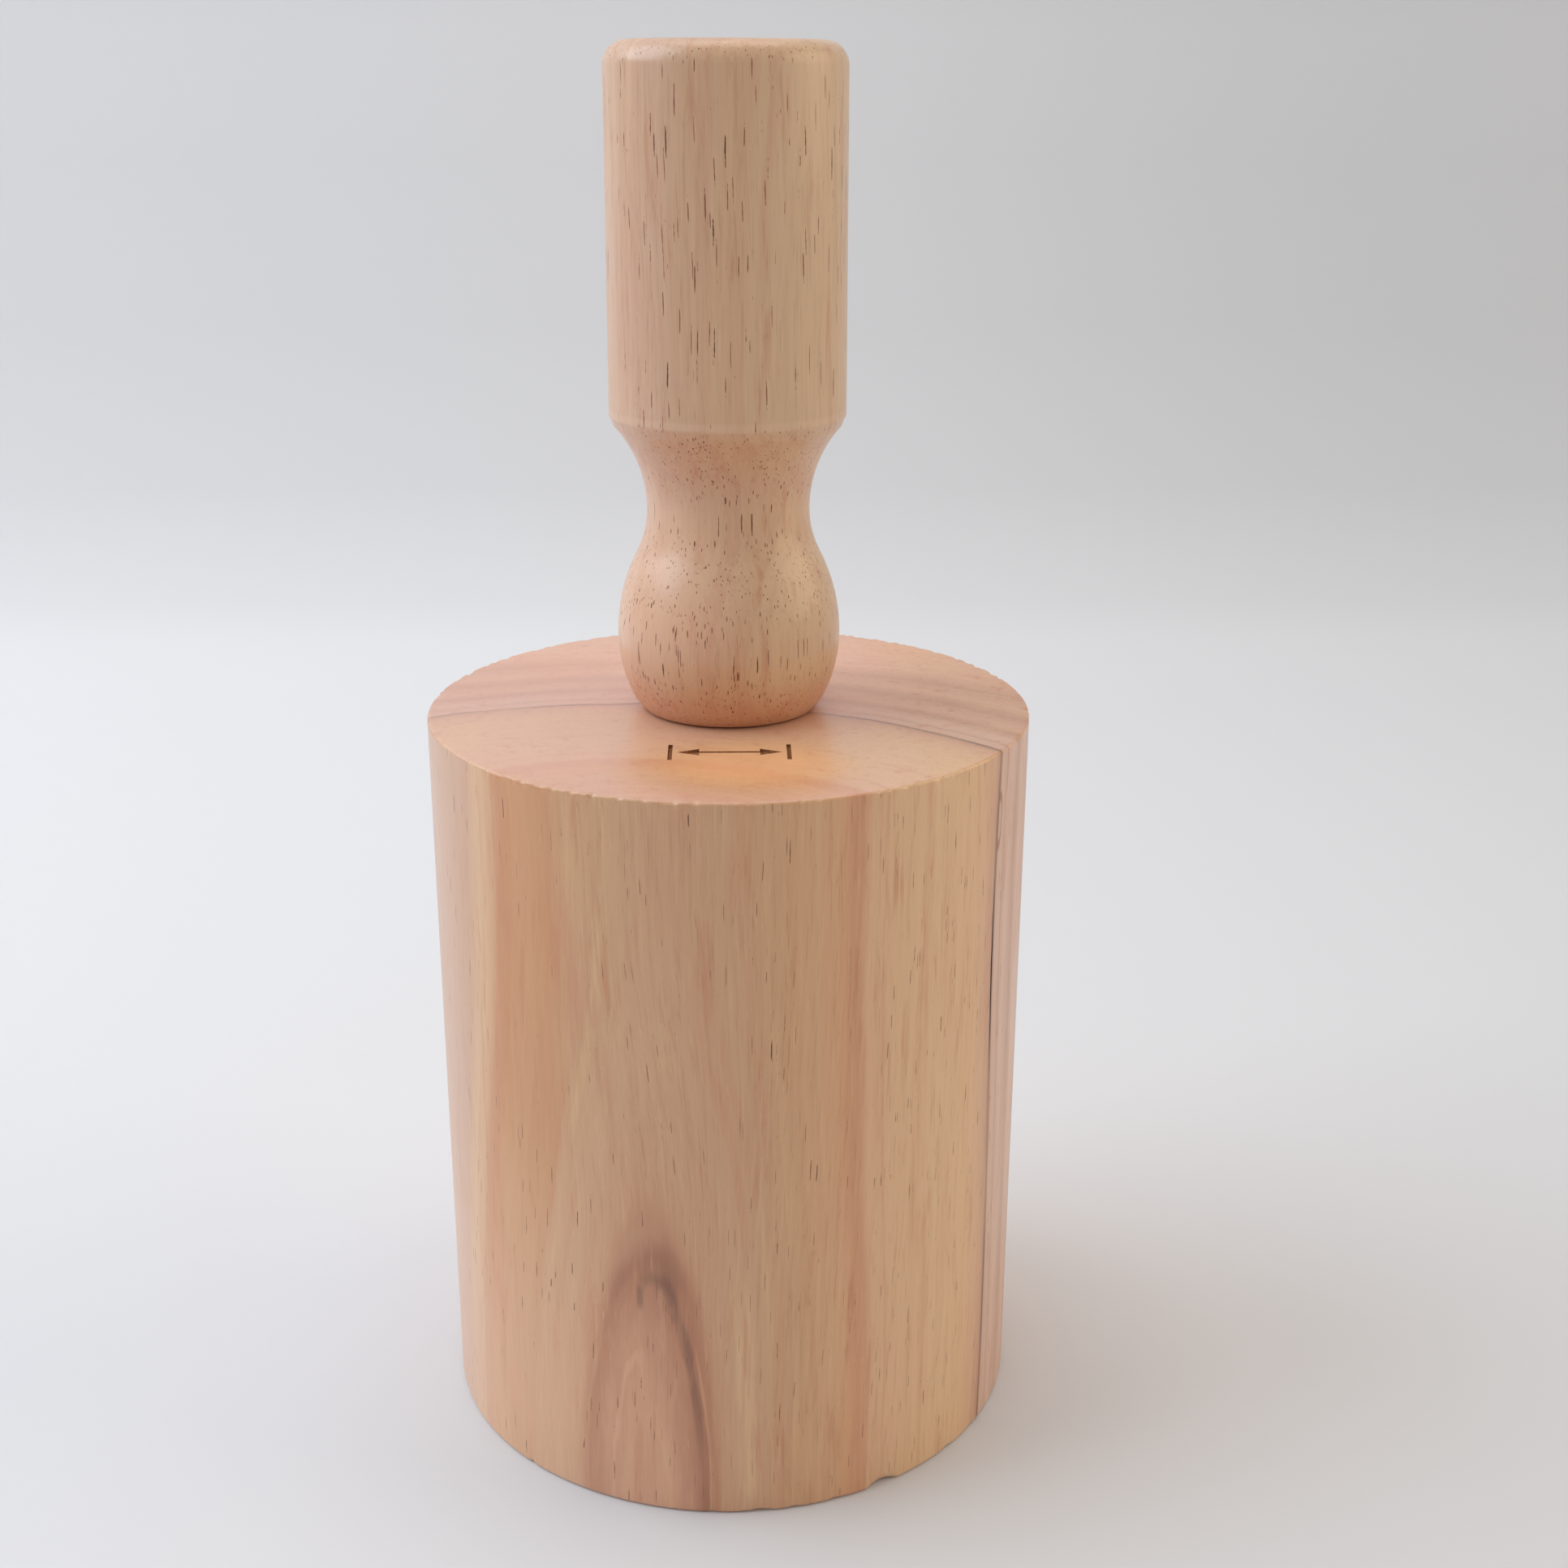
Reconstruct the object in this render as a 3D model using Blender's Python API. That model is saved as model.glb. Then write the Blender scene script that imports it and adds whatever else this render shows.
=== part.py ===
"""Turned hardwood hand mallet: a cylindrical head block, a turned handle and the dowel pin that joins them.

Metres, +Z up. The origin is the centre of the striking face, which is the underside of the head,
and +Z runs up the handle. The size mark on top of the head faces -Y.
"""

import math

import bmesh
import bpy

# Head block
HEAD_DIAMETER = 0.08636  # 3.4 in
HEAD_HEIGHT = 0.107
HEAD_TOP_CHAMFER = 0.0004
HEAD_BOTTOM_CHAMFER = 0.0006

# Turned handle, heights measured from its own base
HANDLE_LENGTH = 0.0901
HANDLE_BASE_RADIUS = 0.01275
HANDLE_BASE_CHAMFER = 0.0004
BULB_RADIUS = 0.0158
BULB_HEIGHT = 0.0106
BULB_CURVE_BELOW = 0.020
BULB_CURVE_ABOVE = 0.025
NECK_RADIUS = 0.0114
NECK_HEIGHT = 0.0286
NECK_CURVE_ABOVE = 0.0175
COVE_END_RADIUS = 0.0158
GRIP_START_HEIGHT = 0.0414
GRIP_START_RADIUS = 0.0164
GRIP_END_RADIUS = 0.0162
GRIP_ROUND_OVER = 0.0032

# Dowel joint, half of it in the head and half in the handle
GLUE_GAP = 0.0003
DOWEL_RADIUS = 0.006
DOWEL_LENGTH = 0.050
DOWEL_CHAMFER = 0.0012
DOWEL_FLUTES = 18
DOWEL_FLUTE_DEPTH = 0.0004
DOWEL_FLUTE_SHARE = 0.45  # part of each flute's pitch that the groove takes
BORE_RADIUS = DOWEL_RADIUS + GLUE_GAP
BORE_DEPTH = 0.0262
BORE_MOUTH_CHAMFER = 0.0008
DRILL_POINT_ANGLE = math.radians(118)

# Engraved size mark, a double-headed arrow between two limit lines
MARK_DISTANCE = 0.0225  # from the axis of the head to the middle of the mark
MARK_HALF_WIDTH = 0.0080
MARK_LIMIT_HEIGHT = 0.0065
MARK_STROKE = 0.0006
MARK_ARROW_LENGTH = 0.0030
MARK_ARROW_HALF_HEIGHT = 0.0014
MARK_ARROW_GAP = 0.0006
MARK_DEPTH = 0.0004
MARK_CLEARANCE = 0.001  # how far the cutter stands above the wood

HEAD_SEGMENTS = 128
HANDLE_SEGMENTS = 72
CURVE_STEP = math.radians(6.5)
MERGE_DISTANCE = 1e-7
SHARP_ANGLE = math.radians(35)

HEAD_COLOUR = (0.604, 0.362, 0.209, 1.0)
HANDLE_COLOUR = (0.617, 0.378, 0.231, 1.0)
DOWEL_COLOUR = (0.672, 0.456, 0.262, 1.0)
HEAD_ROUGHNESS = 0.38
HANDLE_ROUGHNESS = 0.34
DOWEL_ROUGHNESS = 0.6


def clear_scene():
    for obj in list(bpy.data.objects):
        bpy.data.objects.remove(obj)


def wood_material(name, colour, roughness):
    material = bpy.data.materials.new(name)
    material.use_nodes = True
    shader = material.node_tree.nodes["Principled BSDF"]
    shader.inputs["Base Color"].default_value = colour
    shader.inputs["Roughness"].default_value = roughness
    shader.inputs["Metallic"].default_value = 0.0
    return material


def arc(centre, radius, start, end):
    """Points of an arc in (radius, height), both ends included, at even angles."""
    steps = max(2, math.ceil(abs(end - start) / CURVE_STEP))
    points = []
    for i in range(steps + 1):
        angle = start + (end - start) * i / steps
        points.append((centre[0] + radius * math.cos(angle), centre[1] + radius * math.sin(angle)))
    return points


def joined(*runs):
    """One outline from several, without a point twice in a row."""
    outline = []
    for point in (p for run in runs for p in run):
        if not outline or math.dist(point, outline[-1]) > MERGE_DISTANCE:
            outline.append(point)
    return outline


def add_object(name, mesh, material=None):
    obj = bpy.data.objects.new(name, mesh)
    bpy.context.scene.collection.objects.link(obj)
    if material:
        mesh.materials.append(material)
    return obj


def finish_mesh(bm, name):
    """Welds the seam, turns every face outwards and shades the round stretches smooth."""
    bmesh.ops.remove_doubles(bm, verts=bm.verts, dist=MERGE_DISTANCE)
    bmesh.ops.recalc_face_normals(bm, faces=bm.faces)
    mesh = bpy.data.meshes.new(name)
    bm.to_mesh(mesh)
    bm.free()
    mesh.shade_smooth()
    mesh.set_sharp_from_angle(angle=SHARP_ANGLE)
    return mesh


def turned_mesh(name, outline, segments):
    """A solid of revolution about Z from an outline of (radius, height) whose ends lie on the axis."""
    bm = bmesh.new()
    verts = [bm.verts.new((radius, 0, height)) for radius, height in outline]
    edges = [bm.edges.new(pair) for pair in zip(verts, verts[1:])]
    bmesh.ops.spin(
        bm,
        geom=verts + edges,
        cent=(0, 0, 0),
        axis=(0, 0, 1),
        angle=math.tau,
        steps=segments,
        use_merge=True,
    )
    return finish_mesh(bm, name)


def blind_bore(mouth_height, direction):
    """Outline of a drilled blind bore, from its point on the axis to its chamfered mouth.

    direction is +1 for a bore that opens upwards and -1 for one that opens downwards.
    """
    point_length = BORE_RADIUS / math.tan(DRILL_POINT_ANGLE / 2)
    floor = mouth_height - direction * BORE_DEPTH
    return [
        (0, floor - direction * point_length),
        (BORE_RADIUS, floor),
        (BORE_RADIUS, mouth_height - direction * BORE_MOUTH_CHAMFER),
        (BORE_RADIUS + BORE_MOUTH_CHAMFER, mouth_height),
    ]


def head_outline():
    radius = HEAD_DIAMETER / 2
    side = [
        (radius - HEAD_TOP_CHAMFER, HEAD_HEIGHT),
        (radius, HEAD_HEIGHT - HEAD_TOP_CHAMFER),
        (radius, HEAD_BOTTOM_CHAMFER),
        (radius - HEAD_BOTTOM_CHAMFER, 0),
        (0, 0),
    ]
    return joined(blind_bore(HEAD_HEIGHT, 1), side)


def bulb_and_neck():
    """The bulb above the base and the waist over it, as arcs that run into each other smoothly."""
    drop = BULB_RADIUS - NECK_RADIUS
    rise = NECK_HEIGHT - BULB_HEIGHT
    both_curves = (drop**2 + rise**2) / (2 * drop)
    turn = math.asin(rise / both_curves)
    neck_curve_below = both_curves - BULB_CURVE_ABOVE
    base_reach = HANDLE_BASE_RADIUS - (BULB_RADIUS - BULB_CURVE_BELOW)
    base_angle = -math.acos(base_reach / BULB_CURVE_BELOW)
    cove_reach = NECK_RADIUS + NECK_CURVE_ABOVE - COVE_END_RADIUS
    cove_angle = math.acos(cove_reach / NECK_CURVE_ABOVE)
    return joined(
        arc((BULB_RADIUS - BULB_CURVE_BELOW, BULB_HEIGHT), BULB_CURVE_BELOW, base_angle, 0),
        arc((BULB_RADIUS - BULB_CURVE_ABOVE, BULB_HEIGHT), BULB_CURVE_ABOVE, 0, turn),
        arc((NECK_RADIUS + neck_curve_below, NECK_HEIGHT), neck_curve_below, math.pi + turn, math.pi),
        arc((NECK_RADIUS + NECK_CURVE_ABOVE, NECK_HEIGHT), NECK_CURVE_ABOVE, math.pi, math.pi - cove_angle),
    )


def handle_outline():
    turned = bulb_and_neck()
    base = [(turned[0][0] - HANDLE_BASE_CHAMFER, 0), (turned[0][0], HANDLE_BASE_CHAMFER)]
    body = [point for point in turned if point[1] > 2 * HANDLE_BASE_CHAMFER]
    round_over = arc(
        (GRIP_END_RADIUS - GRIP_ROUND_OVER, HANDLE_LENGTH - GRIP_ROUND_OVER),
        GRIP_ROUND_OVER,
        0,
        math.pi / 2,
    )
    ridge = [(GRIP_START_RADIUS, GRIP_START_HEIGHT)]
    return joined(blind_bore(0, -1), base, body, ridge, round_over, [(0, HANDLE_LENGTH)])


def dowel_section(radius, flute_depth):
    """One closed ring of a fluted pin: flats of the full radius with a groove between each two."""
    ring = []
    pitch = math.tau / DOWEL_FLUTES
    for flute in range(DOWEL_FLUTES):
        start = flute * pitch
        for share, depth in ((0, 0), (0.5, flute_depth), (1, 0)):
            angle = start + share * DOWEL_FLUTE_SHARE * pitch
            ring.append(((radius - depth) * math.cos(angle), (radius - depth) * math.sin(angle)))
    return ring


def dowel_mesh(name):
    """The fluted pin along Z, centred on its origin, with both ends chamfered down past the flutes."""
    half = DOWEL_LENGTH / 2
    end_radius = DOWEL_RADIUS - DOWEL_CHAMFER
    stations = (
        (-half, end_radius, 0),
        (DOWEL_CHAMFER - half, DOWEL_RADIUS, DOWEL_FLUTE_DEPTH),
        (half - DOWEL_CHAMFER, DOWEL_RADIUS, DOWEL_FLUTE_DEPTH),
        (half, end_radius, 0),
    )
    bm = bmesh.new()
    rings = []
    for height, radius, flute_depth in stations:
        section = dowel_section(radius, flute_depth)
        rings.append([bm.verts.new((x, y, height)) for x, y in section])
    for lower, upper in zip(rings, rings[1:]):
        for i in range(len(lower)):
            j = (i + 1) % len(lower)
            bm.faces.new((lower[i], lower[j], upper[j], upper[i]))
    bm.faces.new(rings[0])
    bm.faces.new(rings[-1])
    return finish_mesh(bm, name)


def arrow_outline():
    tip = MARK_HALF_WIDTH - MARK_STROKE / 2 - MARK_ARROW_GAP
    shoulder = tip - MARK_ARROW_LENGTH
    half = MARK_STROKE / 2
    wide = MARK_ARROW_HALF_HEIGHT
    right = [(shoulder, half), (shoulder, wide), (tip, 0), (shoulder, -wide), (shoulder, -half)]
    left = [(-x, -y) for x, y in right]
    return right + left


def limit_outline(x):
    half = MARK_STROKE / 2
    tall = MARK_LIMIT_HEIGHT / 2
    return [(x - half, -tall), (x + half, -tall), (x + half, tall), (x - half, tall)]


def mark_cutter():
    """Three upright prisms that cut the size mark into the top of the head."""
    bm = bmesh.new()
    for outline in (arrow_outline(), limit_outline(-MARK_HALF_WIDTH), limit_outline(MARK_HALF_WIDTH)):
        face = bm.faces.new([bm.verts.new((x, y, -MARK_DEPTH)) for x, y in outline])
        grown = bmesh.ops.extrude_face_region(bm, geom=[face])["geom"]
        raised = [item for item in grown if isinstance(item, bmesh.types.BMVert)]
        bmesh.ops.translate(bm, verts=raised, vec=(0, 0, MARK_DEPTH + MARK_CLEARANCE))
    cutter = add_object("mark_cutter", finish_mesh(bm, "mark_cutter"))
    cutter.location = (0, -MARK_DISTANCE, HEAD_HEIGHT)
    cutter.hide_render = True
    cutter.display_type = "WIRE"
    return cutter


def build_head(mallet):
    material = wood_material("head_wood", HEAD_COLOUR, HEAD_ROUGHNESS)
    head = add_object("mallet_head", turned_mesh("mallet_head", head_outline(), HEAD_SEGMENTS), material)
    head.parent = mallet
    cutter = mark_cutter()
    cutter.parent = mallet
    engrave = head.modifiers.new("size_mark", "BOOLEAN")
    engrave.operation = "DIFFERENCE"
    engrave.solver = "EXACT"
    engrave.object = cutter


def build_handle(mallet):
    material = wood_material("handle_wood", HANDLE_COLOUR, HANDLE_ROUGHNESS)
    mesh = turned_mesh("turned_handle", handle_outline(), HANDLE_SEGMENTS)
    handle = add_object("turned_handle", mesh, material)
    handle.parent = mallet
    handle.location = (0, 0, HEAD_HEIGHT + GLUE_GAP)


def build_dowel(mallet):
    material = wood_material("dowel_wood", DOWEL_COLOUR, DOWEL_ROUGHNESS)
    dowel = add_object("dowel_pin", dowel_mesh("dowel_pin"), material)
    dowel.parent = mallet
    dowel.location = (0, 0, HEAD_HEIGHT + GLUE_GAP / 2)


def main():
    clear_scene()
    mallet = add_object("mallet", None)
    build_head(mallet)
    build_handle(mallet)
    build_dowel(mallet)


main()
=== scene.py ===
"""Looks of the turned hardwood hand mallet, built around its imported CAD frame.

The head and the handle are turned again at a finer pitch, with soft and slightly torn rims, and
each gets wood worked out in the solid: growth rings round a leaning pith, vessels and fibres along
the grain, under a thin clear lacquer. Geometry is in metres. Materials work in millimetres, in the
frame of the CAD.
"""

import math
import random

import bmesh
import bpy
from mathutils import Matrix, Vector


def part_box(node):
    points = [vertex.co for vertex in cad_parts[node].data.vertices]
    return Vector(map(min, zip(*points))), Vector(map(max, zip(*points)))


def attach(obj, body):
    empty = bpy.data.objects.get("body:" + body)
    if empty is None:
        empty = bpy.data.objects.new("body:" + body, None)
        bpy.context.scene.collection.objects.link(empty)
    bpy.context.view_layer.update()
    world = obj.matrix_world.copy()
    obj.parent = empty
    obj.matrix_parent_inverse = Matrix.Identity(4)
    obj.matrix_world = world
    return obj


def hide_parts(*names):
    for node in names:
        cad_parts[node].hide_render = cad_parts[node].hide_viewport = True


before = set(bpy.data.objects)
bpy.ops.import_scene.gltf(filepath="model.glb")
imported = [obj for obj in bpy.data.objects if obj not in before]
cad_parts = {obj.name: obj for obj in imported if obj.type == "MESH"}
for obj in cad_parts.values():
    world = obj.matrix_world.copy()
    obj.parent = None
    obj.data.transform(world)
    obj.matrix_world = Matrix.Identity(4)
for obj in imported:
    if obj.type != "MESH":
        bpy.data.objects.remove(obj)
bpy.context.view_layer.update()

MM = 0.001

# Head, beyond what its CAD box gives
HEAD_SEGMENTS = 720
HEAD_TOP_FILLET = 0.00045
HEAD_BOTTOM_FILLET = 0.0007
RIM_STRIP = 0.0012
BORE_RADIUS = 0.0063
BORE_DEPTH = 0.0262
BORE_MOUTH_CHAMFER = 0.0008
DRILL_POINT_ANGLE = math.radians(118)

# Torn rims of the head. Chips are (how many, widest half width, deepest), and the large one is
# (angle, half width, depth). A reach is how far from the rim they still pull at the surface.
CHIP_SEED = 7
TOP_CHIPS = (120, 0.9 * MM, 0.32 * MM)
TOP_CHIP_REACH = 1.2 * MM
BOTTOM_CHIPS = (22, 1.6 * MM, 0.32 * MM)
BOTTOM_CHIP_REACH = 1.8 * MM
LARGE_CHIP = (math.radians(-60), 2.6 * MM, 0.85 * MM)

# Handle profile, heights from its own base
HANDLE_SEGMENTS = 288
BASE_RADIUS = 0.01275
BASE_CHAMFER = 0.0004
BULB_RADIUS = 0.0158
BULB_HEIGHT = 0.0106
BULB_CURVE_BELOW = 0.020
BULB_CURVE_ABOVE = 0.025
NECK_RADIUS = 0.0114
NECK_HEIGHT = 0.0286
NECK_CURVE_ABOVE = 0.0175
COVE_END_RADIUS = 0.0158
GRIP_START_HEIGHT = 0.0414
GRIP_START_RADIUS = 0.0164
GRIP_END_RADIUS = 0.0162
GRIP_ROUND_OVER = 0.0032
RIDGE_SOFTENING = 0.00035

# Engraved size mark
MARK_DISTANCE = 0.0225
MARK_HALF_WIDTH = 0.0080
MARK_LIMIT_HEIGHT = 0.0065
MARK_STROKE = 0.0006
MARK_ARROW_LENGTH = 0.0030
MARK_ARROW_HALF_HEIGHT = 0.0014
MARK_ARROW_GAP = 0.0006
MARK_DEPTH = 0.0004

# Drying crack along one growth ring, on the right of the head. Its waves are (rate, size).
CRACK_RING = 62.15
CRACK_LOW = 0.060
CRACK_HIGH = 0.089
CRACK_HALF_WIDTH = 0.0002
CRACK_DEPTH = 0.0008
CRACK_STEPS = 40
CRACK_END_OPENING = 0.08
CRACK_TAPER = 0.7
CRACK_WAVES = ((9, 0.00005), (31, 0.00003))
CUTTER_CLEARANCE = 0.0002

# Growth rings of the head, in mm: the pith stands in front of the block and leans away from it.
# Waves are (scale across the grain, scale along it, swing).
PITH_X = -16.36
PITH_Y = -54.31
LEAN_ACROSS = 0.2195
LEAN_AWAY = -0.96
LEAN_SWING = (-7.6, 107.1, 16.7)
LEAN_SLOPE = -0.0417
LEAN_START = 0.17
RING_TAPER = -0.0006
HEAD_WAVES = ((0.05, 0.014, 1.3), (0.3, 0.035, 0.35), (1.3, 0.16, 0.16))
CALM_WAVES = 0.1
HEAD_WANDER = 0.5

# The grain of the head swings round the arch low on its front, in mm
ARCH_MIDDLE = -9.3
SWERVE_MIDDLE = -10.0
SWERVE_START = 98.0
SWERVE_END = 38.0
SWERVE = -5.5

# Growth rings of the handle, in mm
HANDLE_PITH_X = -52.0
HANDLE_PITH_Y = 24.0
HANDLE_LEAN = 0.02
HANDLE_WAVES = ((0.08, 0.02, 2.0),)
HANDLE_WANDER = 0.7
HANDLE_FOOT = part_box("turned_handle")[0].z / MM

# Mesh
CURVE_STEP = math.radians(2.5)
MERGE_DISTANCE = 1e-7
SHARP_ANGLE = math.radians(32)

# Camera
CAMERA_PLACE = (0.0, -0.2833, 0.1925)
CAMERA_PITCH = math.radians(19.05)
CAMERA_YAW = math.radians(1.61)
CAMERA_ROLL = math.radians(0.21)
CAMERA_LENS = 46.85
SENSOR_WIDTH = 36.0


def srgb(red, green, blue):
    """A colour given in display values of 0 to 255, as the linear colour that shaders take."""
    linear = []
    for value in (red, green, blue):
        share = value / 255
        linear.append(share / 12.92 if share <= 0.04045 else ((share + 0.055) / 1.055) ** 2.4)
    return (*linear, 1.0)


# ---------------------------------------------------------------- shader nodes


class Graph:
    """Short calls that build one material's nodes. A value is a number, a tuple or a socket."""

    def __init__(self, name):
        self.material = bpy.data.materials.new(name)
        self.material.use_nodes = True
        self.tree = self.material.node_tree
        self.shader = self.tree.nodes["Principled BSDF"]

    def node(self, kind, **settings):
        made = self.tree.nodes.new(kind)
        for key, value in settings.items():
            setattr(made, key, value)
        return made

    def feed(self, socket, value):
        if isinstance(value, bpy.types.NodeSocket):
            self.tree.links.new(value, socket)
        else:
            socket.default_value = value

    def math(self, operation, *values, clamp=False):
        made = self.node("ShaderNodeMath", operation=operation, use_clamp=clamp)
        for socket, value in zip(made.inputs, values):
            self.feed(socket, value)
        return made.outputs[0]

    def add(self, *values):
        total = values[0]
        for value in values[1:]:
            total = self.math("ADD", total, value)
        return total

    def times(self, *values):
        total = values[0]
        for value in values[1:]:
            total = self.math("MULTIPLY", total, value)
        return total

    def split(self, vector):
        made = self.node("ShaderNodeSeparateXYZ")
        self.feed(made.inputs[0], vector)
        return made.outputs[0], made.outputs[1], made.outputs[2]

    def moved(self, vector, *offsets):
        """The vector with something added to each of its parts."""
        made = self.node("ShaderNodeCombineXYZ")
        for socket, part, offset in zip(made.inputs, self.split(vector), offsets):
            self.feed(socket, self.add(part, offset))
        return made.outputs[0]

    def scaled(self, vector, factors):
        made = self.node("ShaderNodeVectorMath", operation="MULTIPLY")
        self.feed(made.inputs[0], vector)
        self.feed(made.inputs[1], factors)
        return made.outputs[0]

    def noise(self, vector, detail=2.0, roughness=0.5):
        made = self.node("ShaderNodeTexNoise", noise_dimensions="3D")
        self.feed(made.inputs["Vector"], vector)
        made.inputs["Scale"].default_value = 1.0
        made.inputs["Detail"].default_value = detail
        made.inputs["Roughness"].default_value = roughness
        return made.outputs["Fac"]

    def noise_along(self, value, scale, detail=2.0, roughness=0.5):
        made = self.node("ShaderNodeTexNoise", noise_dimensions="1D")
        self.feed(made.inputs["W"], value)
        made.inputs["Scale"].default_value = scale
        made.inputs["Detail"].default_value = detail
        made.inputs["Roughness"].default_value = roughness
        return made.outputs["Fac"]

    def cells(self, vector):
        made = self.node("ShaderNodeTexVoronoi", feature="F1")
        self.feed(made.inputs["Vector"], vector)
        made.inputs["Scale"].default_value = 1.0
        made.inputs["Randomness"].default_value = 1.0
        return made.outputs["Distance"], made.outputs["Color"]

    def remap(self, value, low, high, to_low=0.0, to_high=1.0, smooth=True):
        kind = "SMOOTHSTEP" if smooth else "LINEAR"
        made = self.node("ShaderNodeMapRange", interpolation_type=kind, clamp=True)
        for socket, number in zip(made.inputs, (value, low, high, to_low, to_high)):
            self.feed(socket, number)
        return made.outputs[0]

    def within(self, *limits):
        """1 where every value is past its limit. Each is (value, where it gives 0, where 1)."""
        return self.times(*[self.remap(value, none, full) for value, none, full in limits])

    def ramp(self, value, stops):
        made = self.node("ShaderNodeValToRGB")
        self.feed(made.inputs[0], value)
        elements = made.color_ramp.elements
        while len(elements) < len(stops):
            elements.new(1.0)
        for element, (place, colour) in zip(elements, stops):
            element.position = place
            element.color = colour
        return made.outputs[0]

    def mix(self, factor, first, second, blend="MIX"):
        made = self.node("ShaderNodeMix", data_type="RGBA", blend_type=blend, clamp_factor=True)
        self.feed(made.inputs[0], factor)
        self.feed(made.inputs[6], first)
        self.feed(made.inputs[7], second)
        return made.outputs[2]

    def bump(self, height, strength, distance):
        made = self.node("ShaderNodeBump")
        made.inputs["Strength"].default_value = strength
        made.inputs["Distance"].default_value = distance
        self.feed(made.inputs["Height"], height)
        return made.outputs[0]

    def centred(self, value, amount):
        """A 0 to 1 value turned into one that swings evenly about 0 by about the amount."""
        return self.times(self.math("SUBTRACT", value, 0.5), 2 * amount)

    def place_in_mm(self):
        texture = self.node("ShaderNodeTexCoord")
        return self.scaled(texture.outputs["Object"], (1000.0, 1000.0, 1000.0))

    def slopes(self):
        """Two masks: 1 where the surface slopes at all, and 1 where it lies across the grain."""
        geometry = self.node("ShaderNodeNewGeometry")
        _, _, upward = self.split(geometry.outputs["Normal"])
        tilt = self.math("ABSOLUTE", upward)
        return self.remap(tilt, 0.08, 0.3), self.remap(tilt, 0.5, 0.95)


def wandered(graph, place, amount):
    """The place moved sideways a little, so that fibres and vessels wander along the grain."""
    drift = graph.node("ShaderNodeTexNoise", noise_dimensions="3D")
    graph.feed(drift.inputs["Vector"], graph.scaled(place, (0.07, 0.07, 0.05)))
    drift.inputs["Scale"].default_value = 1.0
    sideways = graph.node("ShaderNodeVectorMath", operation="MULTIPLY_ADD")
    graph.feed(sideways.inputs[0], drift.outputs["Color"])
    sideways.inputs[1].default_value = (2 * amount, 2 * amount, 0.0)
    graph.feed(sideways.inputs[2], place)
    return sideways.outputs[0]


def pores(graph, place, pitch, run, radius, share):
    """Vessels cut open by the surface: short dashes along the grain and dots across it.

    pitch is the spacing across the grain and run the one along it, in mm. radius is a share of
    the pitch, and share says how many of the vessels show at all.
    """
    cells = graph.scaled(place, (1 / pitch, 1 / pitch, 1 / run))
    distance, colour = graph.cells(cells)
    ragged = graph.noise(graph.scaled(place, (4.0, 4.0, 1.5)), 1.0)
    distance = graph.add(distance, graph.centred(ragged, 0.5 * radius))
    shape = graph.remap(distance, radius, 0.75 * radius)
    first, second, _ = graph.split(colour)
    clusters = graph.noise(graph.scaled(place, (0.22, 0.22, 0.03)), 2.0)
    limit = graph.add(1 - share, graph.centred(clusters, -0.9))
    shown = graph.math("GREATER_THAN", first, limit)
    depth = graph.remap(second, 0.0, 1.0, 0.45, 1.0, smooth=False)
    return graph.times(shape, shown, depth)


def band(graph, value, middle, half):
    """1 on a thin band round the middle value, falling off smoothly to 0 at half a width away."""
    off = graph.math("ABSOLUTE", graph.add(value, -middle))
    return graph.remap(off, half, 0.25 * half)


def distance_from(graph, across, away):
    return graph.math("SQRT", graph.add(graph.times(across, across), graph.times(away, away)))


def ring_waves(graph, place, waves):
    """How far the growth rings swing off their even run, in mm."""
    swings = []
    for across, along, swing in waves:
        texture = graph.noise(graph.scaled(place, (across, across, along)), 2.0)
        swings.append(graph.centred(texture, swing))
    return graph.add(*swings)


def lean_pith(graph, height):
    """How far the pith has moved away from the block at a height, in mm."""
    low, high, reach = LEAN_SWING
    swing = graph.remap(height, low, high, 0.0, reach)
    return graph.add(swing, graph.times(height, LEAN_SLOPE), LEAN_START)


def head_rings(graph, place):
    """Distance from the pith along the growth rings, in mm at the height of the table."""
    x, y, height = graph.split(place)
    lean = lean_pith(graph, height)
    across = graph.add(x, -PITH_X, graph.times(lean, -LEAN_ACROSS))
    away = graph.add(y, -PITH_Y, graph.times(lean, -LEAN_AWAY))
    plain = distance_from(graph, across, away)
    tapered = graph.times(plain, graph.add(1.0, graph.times(height, RING_TAPER)))
    waves = ring_waves(graph, place, HEAD_WAVES)
    calm = graph.within((x, 16.0, 32.0), (y, 4.0, -12.0))
    return graph.add(tapered, graph.times(waves, graph.remap(calm, 0.0, 1.0, 1.0, CALM_WAVES)))


def ring_distance(x, y, height):
    """The same as head_rings, in numbers and without its waves."""
    low, high, reach = LEAN_SWING
    share = min(1.0, max(0.0, (height - low) / (high - low)))
    lean = LEAN_START + LEAN_SLOPE * height + reach * share**2 * (3 - 2 * share)
    plain = math.hypot(x - PITH_X - LEAN_ACROSS * lean, y - PITH_Y - LEAN_AWAY * lean)
    return plain * (1 + RING_TAPER * height)


def head_grain(graph, place):
    """The place as the fibres of the head see it: they lean with the pith and round the arch."""
    x, _, height = graph.split(place)
    near_arch = graph.remap(graph.math("ABSOLUTE", graph.add(x, -SWERVE_MIDDLE)), 17.0, 2.0)
    grown = graph.remap(height, SWERVE_START, SWERVE_END, 0.0, SWERVE)
    swerve = graph.times(near_arch, grown)
    across = graph.add(graph.times(lean_pith(graph, height), -LEAN_ACROSS), swerve)
    return wandered(graph, graph.moved(place, across, 0.0, 0.0), HEAD_WANDER)


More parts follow.
